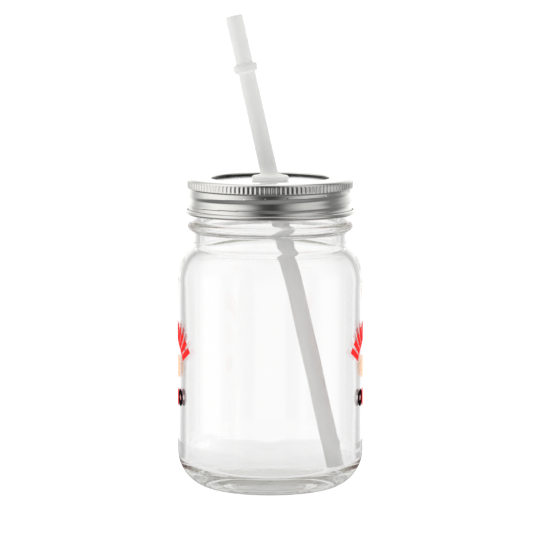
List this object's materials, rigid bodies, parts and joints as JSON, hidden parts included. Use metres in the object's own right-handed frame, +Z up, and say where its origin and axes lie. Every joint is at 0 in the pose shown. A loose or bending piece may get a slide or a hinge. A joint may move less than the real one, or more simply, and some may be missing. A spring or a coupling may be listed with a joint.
{
  "type": "drinking jar with straw lid",
  "caption": "Clear glass drinking jar with a threaded neck, a two-piece metal screw lid, a grommet in the lid and a hollow reusable straw that leans in it.",
  "frame": {"origin": "on the jar's axis, on the surface that the jar stands on", "axes": "+Z up along the jar's axis; the straw leans in the XZ plane, its drinking end towards -X and its foot towards +X; the jar is seen from -Y"},
  "size_m": [0.0818, 0.0816, 0.2092],
  "materials": {
    "clear_glass": "polished, clear, faint green in thick places",
    "red_enamel": "fired gloss",
    "peach_enamel": "fired gloss",
    "black_enamel": "fired gloss",
    "bright_tinplate": "smooth, bright",
    "sealing_compound": "matte",
    "satin_tinplate": "satin, rolled",
    "grommet_plastic": "translucent white, soft",
    "straw_plastic": "translucent white"
  },
  "bodies": {
    "jar": {"jar": "clear_glass", "print_red": "red_enamel", "print_peach": "peach_enamel", "print_black": "black_enamel"},
    "lid": {"lid_disc": "bright_tinplate", "lid_gasket": "sealing_compound"},
    "band": {"screw_band": "satin_tinplate"},
    "grommet": {"straw_grommet": "grommet_plastic"},
    "straw": {"straw": "straw_plastic"}
  },
  "joints": [
    {"name": "lid_lift", "type": "slide", "parent": "jar", "child": "lid", "axis": [0, 0, 1], "range_m": [0, 0.00636]},
    {"name": "band_turn", "type": "hinge", "parent": "lid", "child": "band", "pos_m": [0, 0, 0.1294], "axis": [0, 0, 1], "range_deg": [0, 450]},
    {"name": "grommet_swing", "type": "hinge", "parent": "lid", "child": "grommet", "pos_m": [0, 0, 0.1374], "axis": [0, 0, 1], "continuous": true},
    {"name": "straw_slide", "type": "slide", "parent": "grommet", "child": "straw", "axis": [-0.2198, 0, 0.9755], "range_m": [0, 0.147]}
  ],
  "couplings": [
    {"joint": "lid_lift", "follows": "band_turn", "m_per_rad": 0.00080851}
  ]
}
